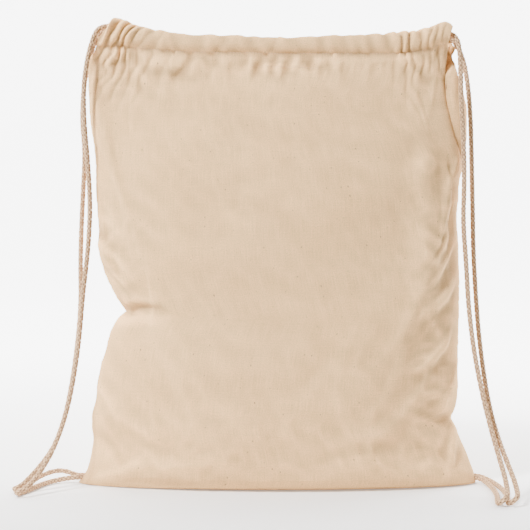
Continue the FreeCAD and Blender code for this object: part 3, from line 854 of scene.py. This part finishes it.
def makeCordCotton():
    material, tree, shader = newMaterial("braidedCotton", 0.88, 0.05)
    place = addNode(tree, "ShaderNodeTexCoord", None, None, 3)
    fibres = addNode(tree, "ShaderNodeTexNoise", None, {"Vector": place, "Scale": 2600.0, "Detail": 2.0})
    patches = addNode(tree, "ShaderNodeTexNoise", None, {"Vector": place, "Scale": 60.0, "Detail": 3.0})
    tone = fibres * 0.5 + patches * 0.5
    crown = mixColours(tree, tone, (0.66, 0.42, 0.22), (0.90, 0.61, 0.35))
    # painted shade: the braid's grooves are coloured dark brown and its crowns light, so the weave reads as
    # lit and shaded
    hollow = addNode(tree, "ShaderNodeAttribute", {"attribute_name": "hollow"}, None, 2)
    lit = hollow ** 1.3
    colour = mixColours(tree, lit, (0.29, 0.165, 0.09), crown)
    tree.links.new(colour.socket, shader.inputs["Base Color"])
    bump(tree, shader, fibres, 0.4, 0.0002)
    return material


def makePlain(name, dark, light, scale, roughness):
    material, tree, shader = newMaterial(name, roughness, 0.05)
    place = addNode(tree, "ShaderNodeTexCoord", None, None, 3)
    grain = addNode(tree, "ShaderNodeTexNoise", None, {"Vector": place, "Scale": scale, "Detail": 3.0})
    colour = mixColours(tree, grain, dark, light)
    tree.links.new(colour.socket, shader.inputs["Base Color"])
    bump(tree, shader, grain, 0.3, 0.0002)
    return material


cotton = makeCloth()
cordCotton = makeCordCotton()
# painted shade: the braid's core is coloured dark brown so that the gaps between the strands read as shade
cordShade = makePlain("paintedShadeCore", (0.20, 0.11, 0.06), (0.28, 0.16, 0.09), 900, 0.95)
thread = makePlain("sewingThread", (0.66, 0.41, 0.23), (0.86, 0.58, 0.36), 1800, 0.75)
tape = makePlain("labelTape", (0.72, 0.66, 0.56), (0.82, 0.77, 0.68), 900, 0.8)
seamCloth = makePlain("seamCotton", (0.68, 0.42, 0.23), (0.80, 0.51, 0.29), 700, 0.88)
print("materials made")

frontShape, frontInfo = panelShape("front", 3)
backShape, backInfo = panelShape("back", 11)
sewSides(frontShape, backShape, frontInfo)
letGo(frontShape, frontInfo)
letGo(backShape, backInfo)
frontCloth, frontFlat = clothPiece("front_cloth", frontShape, frontInfo, cotton)
backCloth, backFlat = clothPiece("back_cloth", backShape, backInfo, cotton)
for piece, panel, hem in ((frontCloth, "front_panel", "front_casing"),
                          (backCloth, "back_panel", "back_casing")):
    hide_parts(panel, hem)
    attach(piece, "bag")


def threadPiece(name, runs, radius, material, replaced):
    curve = bpy.data.curves.new(name, "CURVE")
    curve.dimensions = "3D"
    curve.bevel_depth = radius * mm
    curve.bevel_resolution = 1
    curve.use_fill_caps = True
    for run in runs:
        addSpline(curve, np.asarray(run) * mm + np.array([0, 0, cloth["floor"] * mm]))
    piece = toPiece(name, curve)
    piece.data.materials.append(material)
    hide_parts(*replaced)
    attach(piece, "bag")
    return piece


# short threads that rise out of the cloth and sink back into it, one after another
def lockstitches(line, normals, pitch, share):
    runs = np.linalg.norm(np.diff(line, axis=0), axis=1)
    along = np.concatenate([[0], np.cumsum(runs)])
    starts = np.arange(2, along[-1] - pitch, pitch)
    stitches = []
    for start in starts:
        stitch = []
        for step, lift in zip(np.linspace(0, 1, 7), (-0.5, 0.05, 0.24, 0.28, 0.24, 0.05, -0.5)):
            place = start + step * pitch * share
            point = np.array([np.interp(place, along, line[:, axis]) for axis in range(3)])
            normal = np.array([np.interp(place, along, normals[:, axis]) for axis in range(3)])
            stitch.append(point + normal * lift)
        stitches.append(stitch)
    return stitches


upperRows = slice(100, 190)   # the rows of a panel from 250 mm up


# the line on a panel's wall at one height, between two x positions
def levelLine(shape, normals, height, low, high, slope=0.0):
    line = []
    directions = []
    for column in range(shape.shape[1]):
        points = shape[upperRows, column]
        order = np.argsort(points[:, 2])
        levels = points[order, 2]
        wanted = height + slope * points[0, 0]
        if levels[0] > wanted or levels[-1] < wanted:
            continue
        point = [np.interp(wanted, levels, points[order, axis]) for axis in range(3)]
        if low <= point[0] <= high:
            line.append(point)
            facing = normals[upperRows, column][order]
            directions.append([np.interp(wanted, levels, facing[:, axis]) for axis in range(3)])
    return np.array(line), np.array(directions)


rowIndex = frontInfo["floorRows"] + frontInfo["wallRows"]
panels = {"front": (frontShape, frontInfo), "back": (backShape, backInfo)}
for side, (shape, info) in panels.items():
    normals = gridNormals(shape, info["sign"])
    stitches = lockstitches(shape[rowIndex], normals[rowIndex], 3.0, 0.86)
    threadPiece(side + "_stitches", stitches, 0.2, thread, [side + "_casing_stitching"])

frontNormals = gridNormals(frontShape, frontInfo["sign"])
labelLine, labelNormals = levelLine(frontShape, frontNormals, 394.5, -27, 42, -0.04)
labelStitches = lockstitches(labelLine, labelNormals, 2.8, 0.84)
threadPiece("label_stitches", labelStitches, 0.19, thread, ["label_stitching"])


# the line where the front and back panels meet at one side, from the corner to the slit
def seamEdge(side):
    column = 0 if side == "left" else -1
    wall = frontShape[frontInfo["floorRows"]:rowIndex, column]
    behind = backShape[backInfo["floorRows"]:rowIndex, column]
    line = (wall + behind) / 2
    return line[(line[:, 2] > 7) & (line[:, 2] < cloth["slit"])]


# the allowance inside each side seam: from where to where it reaches inwards, and its two layers
seam = {"start": 2.5, "end": 10, "thickness": 1.2}


def seamPieces(side):
    line = seamEdge(side)
    inward = np.stack([-line[:, 0], -line[:, 1] * 0.2, 0 * line[:, 0]], 1)
    inward /= np.linalg.norm(inward, axis=1)[:, None]
    half = seam["thickness"] / 2
    rows = np.stack([line + inward * seam["start"], line + inward * seam["end"]], 1)
    rows[..., 1] += half
    rows[..., 2] += cloth["floor"]
    bm = bmesh.new()
    bmesh.ops.create_grid(bm, x_segments=1, y_segments=len(line) - 1, size=1)
    for vertex, point in zip(bm.verts, rows.reshape(-1, 3)):
        vertex.co = Vector(point) * mm
    bm.normal_update()
    forward = 1 if sum(face.normal.y for face in bm.faces) > 0 else -1
    bmesh.ops.solidify(bm, geom=bm.faces, thickness=forward * seam["thickness"] * mm)
    bmesh.ops.recalc_face_normals(bm, faces=bm.faces)
    mesh = bpy.data.meshes.new(side + "_seam_allowance")
    bm.to_mesh(mesh)
    bm.free()
    piece = bpy.data.objects.new(side + "_seam_allowance", mesh)
    bpy.context.collection.objects.link(piece)
    mesh.materials.append(seamCloth)
    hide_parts(side + "_side_seam")
    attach(piece, "bag")
    zigzag = []
    places = np.arange(0, len(line) - 1, 0.5)
    for number, place in enumerate(places):
        point = np.array([np.interp(place, np.arange(len(line)), line[:, axis]) for axis in range(3)])
        toward = np.array([np.interp(place, np.arange(len(line)), inward[:, axis]) for axis in range(3)])
        reach, face = ((5.5, 1), (10.3, 1), (10.3, -1), (5.5, -1))[number % 4]
        zigzag.append(point + toward * reach + np.array([0, 0.85 * face, 0]))
    threadPiece(side + "_overlock", [zigzag], 0.18, thread, [side + "_seam_overlock"])


# a short bar of close zigzag stitches
def tackPiece(name, centre, across, replaced):
    centre = np.array(centre, float)
    across = np.array(across, float)
    bar = []
    for number in range(26):
        sway = 1.3 if number % 2 else -1.3
        rise = (number / 25 - 0.5) * 6
        bar.append(centre + across * sway + np.array([0, 0, rise]))
    threadPiece(name, [bar], 0.2, thread, [replaced])


for side in ("left", "right"):
    seamPieces(side)
    edge = seamEdge(side)
    outward = -1 if side == "left" else 1
    slitPlace = edge[-1] + np.array([outward * 0.4, 0, 0])
    tackPiece(side + "_slit_bar", slitPlace, (0.3, 1, 0), side + "_slit_tack")
    tackPiece(side + "_corner_bar", (outward * 184.5, -3, 6.2), (1, 0, 0), side + "_corner_tack")
print("seams and stitches made")

# one drawcord: in through the front casing, round the far end and back through the back casing
def casingRoute(start, offset, mouth, rise):
    turn = -math.copysign(1, start)
    far = turn * 137
    front = []
    for x in np.linspace(start, far, 18):
        middle = float((smoothly(x, rim) + smoothly(x, stitchRow)) / 2) + 0.3
        near = 0.0 if x * turn > 0 else float(ease(abs(x), rise, 155))
        inward = 1 - float(ease(abs(x), 132, 150))
        aside = (math.copysign(0.85, offset) - 0.25) * inward
        front.append((x, -10 - aside, (middle + offset) * (1 - near) + mouth * near))
    z = front[-1][2]
    bend = [(far + turn * 4, -10, z), (far + turn * 9, -8, z), (far + turn * 12.5, 0, z),
            (far + turn * 9, 8, z), (far + turn * 4, 10, z)]
    back = [(x, -y, level) for x, y, level in reversed(front)]
    return front + bend + back


drawcords = {
    "left_drawcord": {"route": casingRoute(-155, 3.3, 433.4, 127), "body": "left_cord"},
    "right_drawcord": {"route": casingRoute(155, -3.3, 426.6, 143), "body": "right_cord"},
}
for name, part in drawcords.items():
    piece, line, length = braid(name + "_braid", readLine(part["route"]), cordCotton, 1.6, 1.0)
    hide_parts(name)
    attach(piece, part["body"])
    print(name, "in the casing", round(length * 1000), "mm", len(piece.data.polygons))

for name, route in routes.items():
    piece, line, length = braid(name + "_braid", readLine(route), cordCotton, cord["step"], 1.07)
    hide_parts(name)
    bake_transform(piece)
    print(name, "hangs", round(length * 1000), "mm", len(piece.data.polygons))

for name, material in (("inner_label", tape), ("bottom_seam", seamCloth), ("bottom_seam_overlock", thread)):
    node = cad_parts[name]
    node.data.materials.clear()
    node.data.materials.append(material)


# a round floor that curves up into a wall, in metres
paper = {"floor": 2.4, "sweep": 0.9, "height": 4.0, "steps": 64, "glow": 3.5}


def addBackdrop():
    bm = bmesh.new()
    floor = paper["floor"]
    sweep = paper["sweep"]
    profile = [(0.0, 0.0), (0.6, 0.0), (1.4, 0.0), (floor, 0.0)]
    for step in range(1, 9):
        angle = math.pi / 2 * step / 8
        profile.append((floor + sweep * math.sin(angle), sweep - sweep * math.cos(angle)))
    profile.append((floor + sweep, paper["height"]))
    vertices = [bm.verts.new((radius, 0, height)) for radius, height in profile]
    edges = [bm.edges.new(pair) for pair in zip(vertices, vertices[1:])]
    bmesh.ops.spin(bm, geom=vertices + edges, cent=(0, 0, 0), axis=(0, 0, 1), angle=2 * math.pi,
                   steps=paper["steps"], use_merge=True)
    bmesh.ops.remove_doubles(bm, verts=bm.verts, dist=0.0001)
    bmesh.ops.recalc_face_normals(bm, faces=bm.faces)
    bmesh.ops.reverse_faces(bm, faces=bm.faces)
    for face in bm.faces:
        face.smooth = True
    mesh = bpy.data.meshes.new("backdrop")
    bm.to_mesh(mesh)
    bm.free()
    backdrop = bpy.data.objects.new("backdrop", mesh)
    bpy.context.collection.objects.link(backdrop)
    material, tree, shader = newMaterial("backdropPaper", 0.9, 0.0)
    place = addNode(tree, "ShaderNodeTexCoord", None, None, 3)
    split = tree.nodes.new("ShaderNodeSeparateXYZ")
    tree.links.new(place.socket, split.inputs[0])
    glow = addNode(tree, "ShaderNodeMapRange", {"interpolation_type": "SMOOTHSTEP"},
                   {"Value": Wire(tree, split.outputs[1]), 1: -0.3, 2: 1.3, 3: 0.0, 4: 1.0})
    tree.links.new(glow.socket, shader.inputs["Emission Color"])
    shader.inputs["Emission Strength"].default_value = paper["glow"]
    tone = addNode(tree, "ShaderNodeMapRange", {"interpolation_type": "SMOOTHSTEP"},
                    {"Value": Wire(tree, split.outputs[1]), 1: -0.5, 2: -0.13, 3: 0.2, 4: 0.9})
    tree.links.new(tone.socket, shader.inputs["Base Color"])
    mesh.materials.append(material)


lamps = {
    "keyBox": {"place": (-1.1, -1.0, 1.6), "target": (0, 0, 0.22), "size": (0.36, 0.36), "power": 112},
    "fillBox": {"place": (-0.4, -2.2, 0.5), "target": (0, 0, 0.22), "size": (1.0, 1.2), "power": 2},
    "sideBox": {"place": (0.95, 0.6, 0.5), "target": (0.18, 0, 0.2), "size": (0.5, 0.5), "power": 13},
    "backBox": {"place": (0, 0.9, 2.0), "target": (0, 1.6, 0.3), "size": (2.6, 1.0), "power": 90},
}


def addLamp(name, place, target, size, power):
    data = bpy.data.lights.new(name, "AREA")
    data.shape = "RECTANGLE"
    data.size = size[0]
    data.size_y = size[1]
    data.energy = power
    lamp = bpy.data.objects.new(name, data)
    bpy.context.collection.objects.link(lamp)
    lamp.location = place
    direction = Vector(target) - Vector(place)
    lamp.rotation_euler = direction.to_track_quat("-Z", "Y").to_euler()


addBackdrop()
for name, part in lamps.items():
    addLamp(name, **part)
world = bpy.data.worlds.new("studio")
bpy.context.scene.world = world
world.use_nodes = True
world.node_tree.nodes["Background"].inputs["Color"].default_value = (1, 1, 1, 1)
world.node_tree.nodes["Background"].inputs["Strength"].default_value = 0.09
print("backdrop and lamps placed")
